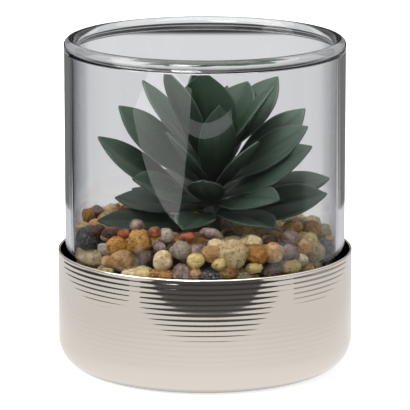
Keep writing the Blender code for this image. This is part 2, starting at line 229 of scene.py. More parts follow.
underside = add_node(tree, "ShaderNodeMath",
                     [(0, slanted.outputs["Result"]), (1, below_middle.outputs["Result"])],
                     operation="MULTIPLY")
bead_underside_shade_share = add_node(tree, "ShaderNodeMath",
                          [(0, underside.outputs["Value"]), (1, at_rim.outputs["Result"])],
                          operation="MULTIPLY")
rim_painted_shade = add_node(tree, "ShaderNodeMix",
                    [("Factor", bead_underside_shade_share.outputs["Value"]), (6, glass_colour_and_edge_shade.outputs[2])], data_type="RGBA")
rim_painted_shade.inputs[7].default_value = linear(RIM_UNDERSIDE_PAINTED_SHADE)
tree.links.new(rim_painted_shade.outputs[2], shader.inputs["Base Color"])
shader.inputs["Roughness"].default_value = 0.0
shader.inputs["IOR"].default_value = GLASS_IOR
shader.inputs["Transmission Weight"].default_value = 1.0

bead_centre = JAR_RADIUS + BEAD_PROUD - BEAD_RADIUS
bead_height = JAR_HIGH.z - BEAD_RADIUS
inner_meet = math.degrees(math.acos((JAR_INNER_RADIUS - bead_centre) / BEAD_RADIUS))
outer_meet = math.degrees(math.acos((JAR_RADIUS - bead_centre) / BEAD_RADIUS))
jar_profile = [(0.0, JAR_FLOOR)]
jar_profile += arc(JAR_INNER_RADIUS - JAR_INNER_HEEL, JAR_FLOOR + JAR_INNER_HEEL, JAR_INNER_HEEL, -90, 0, 12)
jar_profile += arc(bead_centre, bead_height, BEAD_RADIUS, 360 - inner_meet, -outer_meet, 40)
jar_profile += arc(JAR_RADIUS - JAR_HEEL, JAR_LOW.z + JAR_HEEL, JAR_HEEL, 0, -90, 14)
jar_profile += [(0.0, JAR_LOW.z)]
jar = turned("jar_glass_wall", jar_profile, JAR_TURN_STEPS)
jar.data.materials.append(clear_glass)
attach(jar, "root")
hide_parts("glass_jar")

# Succulent. Leaves of soft plastic, each moulded with a keel, pushed in tiers onto an upright stem
# that stands in the pebbles. They are dark green, greyed by painted light the further out and the higher
# and kept dark by painted shade low down and in the middle, with a painted highlight along the thin edge.
STEM_X = 2.5 * MM
STEM_FOOT = 24.0 * MM
STEM_TOP = 77.5 * MM
STEM_RADIUS = 3.0 * MM
STEM_TOP_RADIUS = 1.9 * MM
STEM_SHOULDER = 14.0 * MM
LEAF_FLESH = 2.0 * MM
LEAF_ROOT = 1.2 * MM
LEAF_EDGE = 0.7 * MM
LEAF_FOLD = math.radians(20)
LEAF_UNFOLD = 0.35
LEAF_BASE_SHARE = 0.24
LEAF_WIDEST = 0.62
LEAF_TIP_SHARE = 0.03
LEAF_CELLS = (26, 10)
KEEL_CREASE = 0.75

# Name, azimuth from +X, height of the base, rise at the base and at the tip, length, width and roll,
# in degrees and mm.
LEAVES = (
    ("leaf_ground_1", 191, 48.6, -3, 10, 38.5, 15.0, -21),
    ("leaf_ground_2", 140, 51.0, 8, 6, 36, 14.0, 0),
    ("leaf_ground_3", 90, 51.0, 10, 6, 34, 14.0, 0),
    ("leaf_ground_4", 40, 51.0, 8, 8, 35, 14.0, 0),
    ("leaf_ground_5", -14, 52.3, 1, 24, 39.5, 17.0, 36),
    ("leaf_ground_6", 254, 51.0, 8, 0, 33, 14.0, -6),
    ("leaf_ground_7", -55, 51.0, 8, -2, 34, 14.5, 8),
    ("leaf_lower_1", 171, 52.5, 2, 11, 33, 13.5, -24),
    ("leaf_lower_2", 3, 54.5, 10, 16, 40.5, 15.0, 28),
    ("leaf_lower_3", 214, 54.5, 18, 28, 34, 15.0, -36),
    ("leaf_lower_4", -50, 54.5, 14, 12, 34, 14.0, 30),
    ("leaf_lower_5", 124, 54.5, 13, 14, 31, 13.5, 0),
    ("leaf_lower_6", 62, 55.5, 20, 20, 34, 14.0, 0),
    ("leaf_lower_7", 262, 55.0, 16, 44, 27, 13.5, 0),
    ("leaf_middle_1", 183, 53.5, 22, 46, 46, 15.5, -30),
    ("leaf_middle_2", -22, 56.3, 22, 42, 41, 18.0, 36),
    ("leaf_middle_3", -8, 61.0, 28, 42, 38.5, 16.5, 36),
    ("leaf_middle_4", 236, 60.5, 34, 50, 36, 15.5, -32),
    ("leaf_middle_5", 128, 61.0, 34, 42, 34, 14.0, 0),
    ("leaf_middle_6", 75, 61.0, 34, 42, 34, 14.0, 0),
    ("leaf_middle_7", 306, 59.5, 30, 52, 33, 15.5, 20),
    ("leaf_upper_1", 178, 59.3, 36, 52, 43, 18.0, -32),
    ("leaf_upper_2", 12, 62.0, 28, 49, 40.5, 16.0, 32),
    ("leaf_upper_3", 276, 60.5, 30, 88, 40, 13.5, 4),
    ("leaf_upper_4", 151, 66.0, 38, 58, 40, 17.0, 6),
    ("leaf_upper_5", -28, 67.0, 50, 58, 38, 17.5, 25),
    ("leaf_upper_6", 98, 68.0, 50, 55, 31, 13.0, 0),
    ("leaf_crown_1", 222, 68.0, 48, 74, 41.5, 20.5, -10),
    ("leaf_crown_2", 22, 69.0, 44, 58, 37, 18.0, 20),
    ("leaf_crown_3", 50, 71.0, 50, 56, 30, 19.0, 0),
    ("leaf_crown_4", 130, 73.0, 66, 74, 28, 12.0, 0),
    ("leaf_crown_5", 260, 66.0, 44, 92, 42, 22.5, -8),
    ("leaf_heart_1", 20, 74.5, 72, 84, 22, 9.5, 0),
    ("leaf_heart_2", 165, 75.0, 76, 84, 20, 9.0, 0),
    ("leaf_heart_3", 290, 74.0, 70, 86, 23, 9.5, 0),
)


def blade_share(s):
    """Half-width of the blade at s along it, as a share of its greatest half-width."""
    if s < LEAF_WIDEST:
        q = s / LEAF_WIDEST
        return LEAF_BASE_SHARE + (1 - LEAF_BASE_SHARE) * math.sin(q * math.pi / 2) ** 1.6
    q = (s - LEAF_WIDEST) / (1 - LEAF_WIDEST)
    return max(LEAF_TIP_SHARE, (1 - q**2.6) * (1 - 0.08 * q))


def leaf_surface(azimuth, base_z, rise, tip_rise, length, width, roll, cells_long, cells_wide):
    """Rows of points of the leaf's upper face, from its base to its tip, and each point's share of flesh."""
    azimuth, rise, tip_rise, roll = (math.radians(angle) for angle in (azimuth, rise, tip_rise, roll))
    base_z, length, width = base_z * MM, length * MM, width * MM
    outward = Vector((math.cos(azimuth), math.sin(azimuth), 0.0))
    side = Vector((-outward.y, outward.x, 0.0))
    point = Vector((STEM_X, 0.0, base_z)) + outward * LEAF_ROOT
    rows = []
    steps_per_cell = 6
    for i in range(cells_long + 1):
        s = i / cells_long
        if i:
            for k in range(steps_per_cell):
                at = (i - 1 + (k + 0.5) / steps_per_cell) / cells_long
                angle = rise + (tip_rise - rise) * at
                direction = outward * math.cos(angle) + Vector((0, 0, math.sin(angle)))
                point = point + direction * (length / cells_long / steps_per_cell)
        angle = rise + (tip_rise - rise) * s
        tangent = outward * math.cos(angle) + Vector((0, 0, math.sin(angle)))
        turn = Matrix.Rotation(roll * min(1.0, 1.6 * s + 0.25), 3, tangent)
        across = turn @ side
        up = turn @ side.cross(-tangent)
        half = width / 2 * blade_share(s)
        fold = LEAF_FOLD * (1 - LEAF_UNFOLD * s)
        row = []
        for j in range(cells_wide + 1):
            u = 2 * j / cells_wide - 1
            lift = half * abs(u) ** 1.3 * math.sin(fold)
            place = point + across * (half * u * math.cos(fold)) + up * lift
            flesh = 1 - (1 - LEAF_EDGE / LEAF_FLESH) * max(abs(u) ** 1.5, s**2.5)
            row.append((place, flesh))
        rows.append(row)
    return rows


# Soft PVC, moulded and matted: dark green, greyed outward and upward as painted light and dark low down
# and in the middle as painted shade, a painted highlight along the edge, a satin sheen, fine veins.
VEIN_PITCH = 1.1 * MM
BLADE_WIDTH = 14 * MM
CLOUD = 9 * MM
OLIVE_PATCH = 14 * MM
PAINTED_LIGHT_INNER, PAINTED_LIGHT_OUTER = 11 * MM, 34 * MM
PAINTED_LIGHT_LOW, PAINTED_LIGHT_HIGH = 50 * MM, 66 * MM
PAINTED_LIGHT_STRENGTH = 1.8
LEAF_DEEP = "#172918"
LEAF_GREEN = "#1E3320"
LEAF_PAINTED_LIGHT_GREY = "#4F5F54"
LEAF_EDGE_HIGHLIGHT = "#4A594F"
LEAF_OLIVE = "#29331A"

soft_pvc, tree, shader = new_material("moulded_soft_pvc")
blade = add_node(tree, "ShaderNodeUVMap", uv_map="blade")
split = add_node(tree, "ShaderNodeSeparateXYZ", [("Vector", blade.outputs["UV"])])
place = add_node(tree, "ShaderNodeTexCoord")
cloud = add_node(tree, "ShaderNodeTexNoise", [("Vector", place.outputs["Object"])],
                 Scale=1 / CLOUD, Detail=3.0)
green = add_node(tree, "ShaderNodeMix", [("Factor", cloud.outputs["Fac"])], data_type="RGBA")
green.inputs[6].default_value = linear(LEAF_DEEP)
green.inputs[7].default_value = linear(LEAF_GREEN)
patch = add_node(tree, "ShaderNodeTexNoise", [("Vector", place.outputs["Object"])],
                 Scale=1 / OLIVE_PATCH, Detail=1.0)
olive_share = add_node(tree, "ShaderNodeMapRange", [("Value", patch.outputs["Fac"])],
                       From_Min=0.55, From_Max=0.75)
olive = add_node(tree, "ShaderNodeMix",
                 [("Factor", olive_share.outputs["Result"]), (6, green.outputs[2])], data_type="RGBA")
olive.inputs[7].default_value = linear(LEAF_OLIVE)
veins_scale = add_node(tree, "ShaderNodeMapping", [("Vector", blade.outputs["UV"])])
veins_scale.inputs["Scale"].default_value = (BLADE_WIDTH / VEIN_PITCH, 2.0, 1.0)
veins = add_node(tree, "ShaderNodeTexNoise", [("Vector", veins_scale.outputs["Vector"])],
                 Scale=1.0, Detail=3.0)
# Painted light and shade: the green is mixed towards grey the further out from the axis and the higher it
# stands, painted light on the outer, upper parts and painted shade on the low, inner ones.
where = add_node(tree, "ShaderNodeSeparateXYZ", [("Vector", place.outputs["Object"])])
level_place = add_node(tree, "ShaderNodeCombineXYZ", [("X", where.outputs["X"]), ("Y", where.outputs["Y"])])
outward = add_node(tree, "ShaderNodeVectorMath", [(0, level_place.outputs["Vector"])], operation="LENGTH")
outer = add_node(tree, "ShaderNodeMapRange", [("Value", outward.outputs["Value"])],
                 interpolation_type="SMOOTHSTEP", From_Min=PAINTED_LIGHT_INNER, From_Max=PAINTED_LIGHT_OUTER)
high = add_node(tree, "ShaderNodeMapRange", [("Value", where.outputs["Z"])],
                interpolation_type="SMOOTHSTEP", From_Min=PAINTED_LIGHT_LOW, From_Max=PAINTED_LIGHT_HIGH,
                To_Min=0.12, To_Max=1.0)
painted_light_share = add_node(tree, "ShaderNodeMath", [(0, outer.outputs["Result"]), (1, high.outputs["Result"])],
                      operation="MULTIPLY")
veined = add_node(tree, "ShaderNodeMath", [(0, painted_light_share.outputs["Value"]), (1, veins.outputs["Fac"])],
                  operation="MULTIPLY")
painted_light_amount = add_node(tree, "ShaderNodeMath", [(0, veined.outputs["Value"])], operation="MULTIPLY")
painted_light_amount.inputs[1].default_value = PAINTED_LIGHT_STRENGTH
painted_light_mixed = add_node(tree, "ShaderNodeMix",
                  [("Factor", painted_light_amount.outputs["Value"]), (6, olive.outputs[2])], data_type="RGBA")
painted_light_mixed.inputs[7].default_value = linear(LEAF_PAINTED_LIGHT_GREY)
# Painted highlight: the blade is paler along its two thin edges, where they catch the light.
from_middle = add_node(tree, "ShaderNodeMath", [(0, split.outputs["X"])], operation="SUBTRACT")
from_middle.inputs[1].default_value = 0.5
out_share = add_node(tree, "ShaderNodeMath", [(0, from_middle.outputs["Value"])], operation="ABSOLUTE")
edge_highlight_share = add_node(tree, "ShaderNodeMapRange", [("Value", out_share.outputs["Value"])],
                     From_Min=0.455, From_Max=0.5, To_Max=0.75)
edge_highlighted = add_node(tree, "ShaderNodeMix",
                  [("Factor", edge_highlight_share.outputs["Result"]), (6, painted_light_mixed.outputs[2])], data_type="RGBA")
edge_highlighted.inputs[7].default_value = linear(LEAF_EDGE_HIGHLIGHT)
tree.links.new(edge_highlighted.outputs[2], shader.inputs["Base Color"])
satin = add_node(tree, "ShaderNodeMapRange", [("Value", cloud.outputs["Fac"])], To_Min=0.34, To_Max=0.5)
tree.links.new(satin.outputs["Result"], shader.inputs["Roughness"])
shader.inputs["Specular IOR Level"].default_value = 0.22
relief = add_node(tree, "ShaderNodeBump", [("Height", veins.outputs["Fac"])], Strength=0.12,
                  Distance=0.04 * MM)
tree.links.new(relief.outputs["Normal"], shader.inputs["Normal"])


def make_leaf(name, azimuth, base_z, rise, tip_rise, length, width, roll):
    """One keeled leaf: an open folded blade, thickened downwards, most along its keel, and rounded off."""
    cells_long, cells_wide = LEAF_CELLS
    rows = leaf_surface(azimuth, base_z, rise, tip_rise, length, width, roll, *LEAF_CELLS)
    shape = bmesh.new()
    bmesh.ops.create_grid(shape, x_segments=cells_wide, y_segments=cells_long, size=1.0)
    shape.verts.ensure_lookup_table()
    columns = cells_wide + 1
    uv = shape.loops.layers.uv.new("blade")
    crease = shape.edges.layers.float.new("crease_edge")
    for vert in shape.verts:
        i, j = divmod(vert.index, columns)
        vert.co = rows[i][j][0]
    for face in shape.faces:
        face.smooth = True
        for loop in face.loops:
            i, j = divmod(loop.vert.index, columns)
            loop[uv].uv = (j / cells_wide, i / cells_long)
    for edge in shape.edges:
        if all(vert.index % columns == cells_wide // 2 for vert in edge.verts):
            edge[crease] = KEEL_CREASE
    mesh = bpy.data.meshes.new(name)
    shape.to_mesh(mesh)
    shape.free()
    leaf = bpy.data.objects.new(name, mesh)
    bpy.context.scene.collection.objects.link(leaf)
    flesh = leaf.vertex_groups.new(name="flesh")
    for i, row in enumerate(rows):
        for j, (_, share) in enumerate(row):
            flesh.add([i * columns + j], share, "REPLACE")
    solidify = leaf.modifiers.new("flesh", "SOLIDIFY")
    solidify.thickness = LEAF_FLESH
    solidify.offset = -1.0
    solidify.vertex_group = "flesh"
    solidify.use_rim = True
    rounded = leaf.modifiers.new("rounded", "SUBSURF")
    rounded.levels = 1
    rounded.render_levels = 1
    return leaf


for row in LEAVES:
    leaf = make_leaf(*row)
    leaf.data.materials.append(soft_pvc)
    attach(leaf, "root")
    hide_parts("succulent")

stem_profile = [(0.0, STEM_TOP)]
stem_profile += arc(0.0, STEM_TOP - STEM_TOP_RADIUS, STEM_TOP_RADIUS, 75, 0, 8)
stem_profile += [(STEM_RADIUS, STEM_TOP - STEM_SHOULDER), (STEM_RADIUS, STEM_FOOT), (0.0, STEM_FOOT)]
stem = turned("plant_stem", stem_profile, 48)
stem.location.x = STEM_X
stem.data.materials.append(soft_pvc)
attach(stem, "root")
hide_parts("succulent")

# Pebble bed. River gravel of many rocks, 3 to 10 mm, tumbled round and rinsed, poured round the stem.
# Stones at the front are laid one by one where the picture shows them, and the rest are thrown where
# there is room, the largest first.
BED_LOW, BED_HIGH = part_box("pebble_bed")
BED_RADIUS = BED_HIGH.x
BED_FOOT = BED_LOW.z
BED_LEVEL = 45.6 * MM
BED_DISH = 2.6 * MM
BED_LEAN = 1.8 * MM
BED_CORE_DROP = 5.0 * MM
BED_SEED = 11
VIEW_RISE = math.radians(12.18)
PEBBLE_LAYER_FLOOR = 34.0 * MM
PEBBLE_SUNK = 0.45
LOW_LEAF_HEIGHT = 58.0 * MM

# Colours of the rocks: the body, its blotches and its specks, and how glossy water has left them.
ROCKS = {
    "cream_quartz": ("#E3D1A9", "#C9AE7C", "#94794C", 0.42),
    "tan_chert": ("#D3AC78", "#B5854E", "#7A5230", 0.45),
    "ochre_sandstone": ("#CE9C50", "#A8702E", "#5E3A1C", 0.55),
    "pale_yellow_quartz": ("#E6D496", "#CFB068", "#A07C34", 0.42),
    "speckled_granite": ("#D5BE92", "#B3986A", "#5A4A34", 0.50),
    "grey_quartzite": ("#BBAE9A", "#988A78", "#5E564C", 0.45),
    "mauve_porphyry": ("#97807A", "#705A54", "#B9A890", 0.48),
    "charcoal_basalt": ("#37373A", "#232325", "#8E8F90", 0.40),
    "red_jasper": ("#9A5630", "#6A331C", "#C27842", 0.42),
    "dark_brown_chert": ("#4E3322", "#301F16", "#86633F", 0.45),
    "olive_mudstone": ("#B0A27C", "#8A7C56", "#5C5030", 0.52),
}

# Stones laid one by one: rock, across, height at which it shows on the jar's middle, how far behind the
# front glass, half-width and half-height, in mm.
LAID_PEBBLES = (
    ("pale_yellow_quartz", -19.8, 31.7, 0.0, 3.2, 2.6),
    ("cream_quartz", -13.7, 36.1, 0.0, 3.0, 3.4),
    ("mauve_porphyry", -7.2, 32.2, 0.0, 3.4, 3.1),
    ("pale_yellow_quartz", -3.1, 36.2, 0.0, 3.0, 2.6),
    ("charcoal_basalt", 1.3, 31.2, 0.0, 4.4, 2.7),
    ("olive_mudstone", 12.2, 30.9, 0.0, 4.4, 2.5),
    ("dark_brown_chert", 20.7, 32.0, 0.0, 4.7, 3.3),
    ("pale_yellow_quartz", 27.8, 34.0, 0.0, 3.4, 3.0),
    ("tan_chert", 33.2, 32.9, 0.0, 2.4, 2.1),
    ("charcoal_basalt", 39.4, 35.4, 0.0, 2.9, 2.8),
    ("tan_chert", -25.9, 36.1, 0.0, 4.4, 3.5),
    ("cream_quartz", -36.6, 36.3, 0.0, 5.4, 3.6),
    ("pale_yellow_quartz", -31.6, 32.6, 0.0, 1.8, 1.4),
    ("charcoal_basalt", -38.4, 43.6, 0.0, 4.4, 4.0),
    ("grey_quartzite", -32.0, 39.9, 2.0, 3.0, 2.1),
    ("ochre_sandstone", -28.6, 41.3, 2.0, 3.1, 2.8),
    ("ochre_sandstone", -21.2, 42.7, 3.0, 3.8, 3.5),
    ("red_jasper", -16.4, 45.8, 6.0, 2.1, 1.8),
    ("grey_quartzite", -7.5, 39.9, 2.0, 3.1, 3.1),
    ("grey_quartzite", -12.6, 44.6, 8.0, 2.4, 2.6),
    ("red_jasper", -5.8, 44.1, 9.0, 2.7, 1.8),
    ("tan_chert", 2.0, 38.5, 2.0, 3.7, 2.7),
    ("cream_quartz", 4.0, 41.6, 6.0, 3.1, 1.8),
    ("speckled_granite", 9.1, 38.5, 0.5, 5.0, 5.0),
    ("cream_quartz", 15.9, 42.3, 6.0, 2.7, 2.4),
    ("ochre_sandstone", 16.7, 38.2, 2.0, 4.1, 3.0),
    ("tan_chert", 22.2, 38.9, 0.5, 2.8, 3.4),
    ("mauve_porphyry", 27.6, 38.9, 1.0, 3.0, 2.7),
    ("speckled_granite", 35.6, 39.2, 0.0, 3.3, 3.6),
    ("charcoal_basalt", 40.6, 40.0, 0.0, 2.6, 3.0),
    ("tan_chert", 32.4, 40.6, 3.0, 2.7, 2.7),
    ("mauve_porphyry", 28.2, 43.4, 8.0, 3.1, 2.7),
    ("mauve_porphyry", -22.4, 48.0, 14.0, 2.4, 2.1),
    ("ochre_sandstone", -41.0, 51.4, 16.0, 2.6, 2.5),
    ("mauve_porphyry", -37.6, 53.0, 30.0, 2.6, 2.0),
    ("cream_quartz", -33.0, 53.4, 44.0, 2.6, 2.2),
    ("red_jasper", -27.2, 53.6, 50.0, 2.4, 2.0),
    ("ochre_sandstone", 36.0, 46.6, 16.0, 3.2, 2.8),
    ("cream_quartz", 40.6, 46.0, 8.0, 2.3, 2.6),
    ("tan_chert", 29.6, 47.4, 22.0, 3.2, 2.6),
    ("dark_brown_chert", -35.6, 46.4, 6.0, 2.8, 2.0),
    # This dark brown stone lies where the low leaves shade the bed on the left; its dark colour is painted
    # shade.
    ("dark_brown_chert", -30.4, 45.6, 8.0, 3.6, 2.3),
    ("red_jasper", -26.4, 45.2, 10.0, 2.3, 1.6),
    ("dark_brown_chert", -18.6, 37.2, 3.0, 2.7, 2.6),
    ("mauve_porphyry", -14.6, 40.8, 4.0, 2.1, 1.7),
    ("dark_brown_chert", 20.6, 43.2, 9.0, 3.2, 2.2),
    ("mauve_porphyry", 2.0, 45.0, 12.0, 3.6, 2.0),
)

# Sizes of the thrown stones, the largest first: least and greatest radius in mm, and how many throws.
THROWN = ((4.0, 5.0, 1400), (3.2, 4.0, 1600), (2.5, 3.2, 2600), (1.7, 2.4, 2600))
THROWN_SPACING = 0.80
OVERLAP_IN_VIEW = 0.76
# How often each rock turns up among the thrown stones.
ROCK_SHARES = {
    "cream_quartz": 16, "tan_chert": 18, "ochre_sandstone": 16, "pale_yellow_quartz": 10,
    "speckled_granite": 12, "grey_quartzite": 8, "mauve_porphyry": 4, "charcoal_basalt": 4,
    "red_jasper": 5, "dark_brown_chert": 5, "olive_mudstone": 3,
}


def bed_level(x, y):
    """Height of the bed's surface, which climbs towards the glass and more so on the left."""
    reach = math.hypot(x, y) / BED_RADIUS
    return BED_LEVEL + BED_DISH * reach**2 - BED_LEAN * reach * x / BED_RADIUS


def low_leaf_points():
    """Points spread through the flesh of the leaves that lie near the bed."""
    points = []
    for _, azimuth, base_z, rise, tip_rise, length, width, roll in LEAVES:
        if base_z * MM < LOW_LEAF_HEIGHT:
            rows = leaf_surface(azimuth, base_z, rise, tip_rise, length, width, roll, 14, 6)
            points += [place - Vector((0.0, 0.0, LEAF_FLESH / 2)) for row in rows for place, _ in row]
    return np.array(points)


def surface_spot(rng, radius):
    """A place for a pebble sunk in the bed's surface."""
    reach = (BED_RADIUS - radius) * math.sqrt(rng.random())
    angle = rng.uniform(0, math.tau)
    x, y = reach * math.cos(angle), reach * math.sin(angle)
    return (x, y, bed_level(x, y) - PEBBLE_SUNK * radius)


def glass_spot(rng, radius):
    """A place for a pebble that lies against the glass, below the bed's surface."""
    angle = rng.uniform(0, math.tau)
    x, y = (BED_RADIUS - radius) * math.cos(angle), (BED_RADIUS - radius) * math.sin(angle)
    top = bed_level(x, y) - PEBBLE_SUNK * radius
    return (x, y, rng.uniform(PEBBLE_LAYER_FLOOR + radius, top))


def seen_at(x, y, z):
    """Where a point shows from the front: across, and up the view's upright."""
    return (x, z * math.cos(VIEW_RISE) + y * math.sin(VIEW_RISE))


def laid_place(across, shown, back, half_width, half_height):
    """Centre and radius of a stone laid by hand, from where it shows through the front glass."""
    radius = math.sqrt(half_width * half_height) * MM
    x = across * MM
    y = -math.sqrt(max(0.0, (BED_RADIUS - half_width * MM) ** 2 - x * x)) + back * MM
    return (x, y, shown * MM - y * math.tan(VIEW_RISE)), radius


def lay_pebbles():
    """Pebbles as (rock, centre, radius, stretch across, stretch up), with room for leaves and stem."""
    rng = random.Random(BED_SEED)
    leaf_points = low_leaf_points()
    laid = []
    for rock, *where, half_width, half_height in LAID_PEBBLES:
        place, radius = laid_place(*where, half_width, half_height)
        laid.append((rock, place, radius, half_width * MM / radius, half_height * MM / radius))
    laid_marks = [(seen_at(*place), place[1], radius) for _, place, radius, *_ in laid]
    centres = [place for _, place, *_ in laid]
    radii = [radius for _, _, radius, *_ in laid]
    rocks = list(ROCK_SHARES)
    shares = list(ROCK_SHARES.values())
    for low, high, throws in THROWN:
        for find_spot in [surface_spot, glass_spot] * throws:
            radius = rng.uniform(low, high) * MM
            spot = find_spot(rng, radius)
            if math.hypot(spot[0] - STEM_X, spot[1]) < STEM_RADIUS + radius:
                continue
            apart = np.linalg.norm(np.array(centres) - spot, axis=1)
            if (apart < THROWN_SPACING * (np.array(radii) + radius)).any():
                continue
            if np.linalg.norm(leaf_points - spot, axis=1).min() < radius + LEAF_FLESH / 2:
                continue
            mark = seen_at(*spot)
            if any(spot[1] < y and math.dist(mark, seen) < OVERLAP_IN_VIEW * (radius + r)
                   for seen, y, r in laid_marks):
                continue
            rock = rng.choices(rocks, shares)[0]
            laid.append((rock, spot, radius, rng.uniform(0.95, 1.3), rng.uniform(0.8, 1.1)))
            centres.append(spot)
            radii.append(radius)
    return laid


def ball(subdivisions):
    """Points and faces of a unit ball."""
    shape = bmesh.new()
    bmesh.ops.create_icosphere(shape, subdivisions=subdivisions, radius=1.0)
    points = np.array([vert.co[:] for vert in shape.verts])
    faces = [[vert.index for vert in face.verts] for face in shape.faces]
    shape.free()
    return points, np.array(faces)


BALLS = {"fine": ball(4), "plain": ball(3)}
FINE_RADIUS = 2.9 * MM


def pebble_shape(centre, radius, across, up, rng):
    """Points and faces of one tumbled stone: a blunt ball, stretched, dented and turned a little."""
    points, faces = BALLS["fine" if radius > FINE_RADIUS else "plain"]
    blunt = rng.uniform(2.0, 3.0)
    points = points / (np.abs(points) ** blunt).sum(axis=1, keepdims=True) ** (1 / blunt)
    points = points * (0.5 + 0.5 / np.linalg.norm(points, axis=1, keepdims=True))
    seed = Vector((rng.uniform(0, 99), rng.uniform(0, 99), rng.uniform(0, 99)))
    dents = np.array([0.18 * noise.noise(Vector(p) * 1.1 + seed) + 0.08 * noise.noise(Vector(p) * 2.6 + seed)
                      + 0.035 * noise.noise(Vector(p) * 6.5 + seed) for p in points])
    points = points * (1 + dents)[:, None]
    spin = np.array(Euler([rng.uniform(0, math.tau) for _ in range(3)]).to_matrix())
    points = points @ spin.T * (across, (across + 1) / 2, up)
    lean = np.array(Euler((rng.uniform(-0.3, 0.3), rng.uniform(-0.35, 0.35), 0.0)).to_matrix())
    points = points @ lean.T * radius
    place = np.array(centre)
    reach = np.hypot(*(points[:, :2] + place[:2]).T).max()
    if reach > BED_RADIUS:
        place[:2] *= 1 - (reach - BED_RADIUS) / np.hypot(*place[:2])
    return points + place, faces


# Tumbled river stone: a dull body with blotches, coarse specks and pits. Each stone has its own tone.
BLOTCH = 2.6 * MM
SPECK = 0.95 * MM
GRAIN = 0.7 * MM


def stone(name, body, blotch, speck, roughness):
    """The finish of one kind of rock."""
    made, tree, shader = new_material(name)
    place = add_node(tree, "ShaderNodeTexCoord")
    island = add_node(tree, "ShaderNodeNewGeometry")
    own = add_node(tree, "ShaderNodeVectorMath",
                   [(0, place.outputs["Object"]), (1, island.outputs["Random Per Island"])], operation="ADD")
    clouds = add_node(tree, "ShaderNodeTexNoise", [("Vector", own.outputs["Vector"])],
                      Scale=1 / BLOTCH, Detail=4.0, Roughness=0.6)
    share = add_node(tree, "ShaderNodeMapRange", [("Value", clouds.outputs["Fac"])],
                     From_Min=0.38, From_Max=0.62)
    mottled = add_node(tree, "ShaderNodeMix", [("Factor", share.outputs["Result"])], data_type="RGBA")
    mottled.inputs[6].default_value = linear(body)
    mottled.inputs[7].default_value = linear(blotch)
    grains = add_node(tree, "ShaderNodeTexNoise", [("Vector", own.outputs["Vector"])],
                      Scale=1 / SPECK, Detail=2.0, Roughness=0.7)
    speck_share = add_node(tree, "ShaderNodeMapRange", [("Value", grains.outputs["Fac"])],
                           From_Min=0.54, From_Max=0.64, To_Max=0.85)
    specked = add_node(tree, "ShaderNodeMix",
                       [("Factor", speck_share.outputs["Result"]), (6, mottled.outputs[2])], data_type="RGBA")
    specked.inputs[7].default_value = linear(speck)
    tone = add_node(tree, "ShaderNodeMapRange", [("Value", island.outputs["Random Per Island"])],
                    To_Min=0.72, To_Max=1.18)
    toned = add_node(tree, "ShaderNodeHueSaturation",
                     [("Color", specked.outputs[2]), ("Value", tone.outputs["Result"])])
    tree.links.new(toned.outputs["Color"], shader.inputs["Base Color"])
    shader.inputs["Roughness"].default_value = roughness
    shader.inputs["Specular IOR Level"].default_value = 0.3
    pits = add_node(tree, "ShaderNodeTexNoise", [("Vector", own.outputs["Vector"])],
                    Scale=1 / GRAIN, Detail=3.0)
    relief = add_node(tree, "ShaderNodeBump", [("Height", pits.outputs["Fac"])], Strength=0.5,
                      Distance=0.3 * MM)
    tree.links.new(relief.outputs["Normal"], shader.inputs["Normal"])
    return made


rng = random.Random(BED_SEED + 1)
heaps = {rock: [] for rock in ROCKS}
for rock, *pebble in lay_pebbles():
    heaps[rock].append(pebble_shape(*pebble, rng))
for rock, shapes in heaps.items():
    starts = np.cumsum([0] + [len(points) for points, _ in shapes])
    mesh = bpy.data.meshes.new("pebbles_" + rock)
    mesh.from_pydata(np.concatenate([points for points, _ in shapes]), [],
                     np.concatenate([faces + start for (_, faces), start in zip(shapes, starts)]))
    mesh.shade_smooth()
    mesh.materials.append(stone(rock, *ROCKS[rock]))
    heap = bpy.data.objects.new("pebbles_" + rock, mesh)
    bpy.context.scene.collection.objects.link(heap)
    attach(heap, "root")
    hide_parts("pebble_bed")

# Filling. The stones further down are never seen one by one, so they are one body of gravel, a little
# below the stones that show, coloured dark brown as painted shade for the gaps between them.
GRAVEL_BELOW_PAINTED_SHADE = ("#4A372A", "#2C211A", "#6E543C", 0.7)
CORE_STAND_OFF = 6 * MM

core_radius = BED_RADIUS - CORE_STAND_OFF
core_profile = []
for i in range(13):
    r = core_radius * i / 12
    core_profile.append((r, bed_level(0.0, r) - BED_CORE_DROP))
core_profile += [(core_radius, PEBBLE_LAYER_FLOOR), (BED_RADIUS, PEBBLE_LAYER_FLOOR - 1.5 * MM)]
core_profile += arc(BED_RADIUS - JAR_INNER_HEEL, BED_FOOT + JAR_INNER_HEEL, JAR_INNER_HEEL, 0, -90, 10)
core_profile += [(0.0, BED_FOOT)]
filling = turned("gravel_below", core_profile, 96)
filling.data.materials.append(stone("gravel_painted_shade", *GRAVEL_BELOW_PAINTED_SHADE))
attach(filling, "root")
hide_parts("pebble_bed")

# Studio. A pale table, three softboxes, and level cards that show only where they are mirrored.
# The table, the cards and the world answer by the kind of ray, so that the rim's dark band, the cup's rings
# and the pale shape in the glass fall as in the picture. It is light fitted to one view, not a real room.
TABLE_FRONT = -148 * MM
TABLE_LEFT = 182 * MM
TABLE_RIGHT = 190 * MM
TABLE_SIZE = 12.0
TABLE_DROP = 0.2 * MM
CARD_LIFT = 0.4 * MM
TABLE_COLOUR = "#F4F4F3"
TABLE_GLOW = 0.6
SEEN_THROUGH_GLASS = 0.74
MIRRORED_NEAR, MIRRORED_OFF = 0.89, 0.73
SHADE_UNDER_CUP = 0.15
FAR_DARK_FROM, FAR_DARK_TO = 0.682, 0.694
FAR_DARK = 0.07
BOTH_WALLS = 2.5

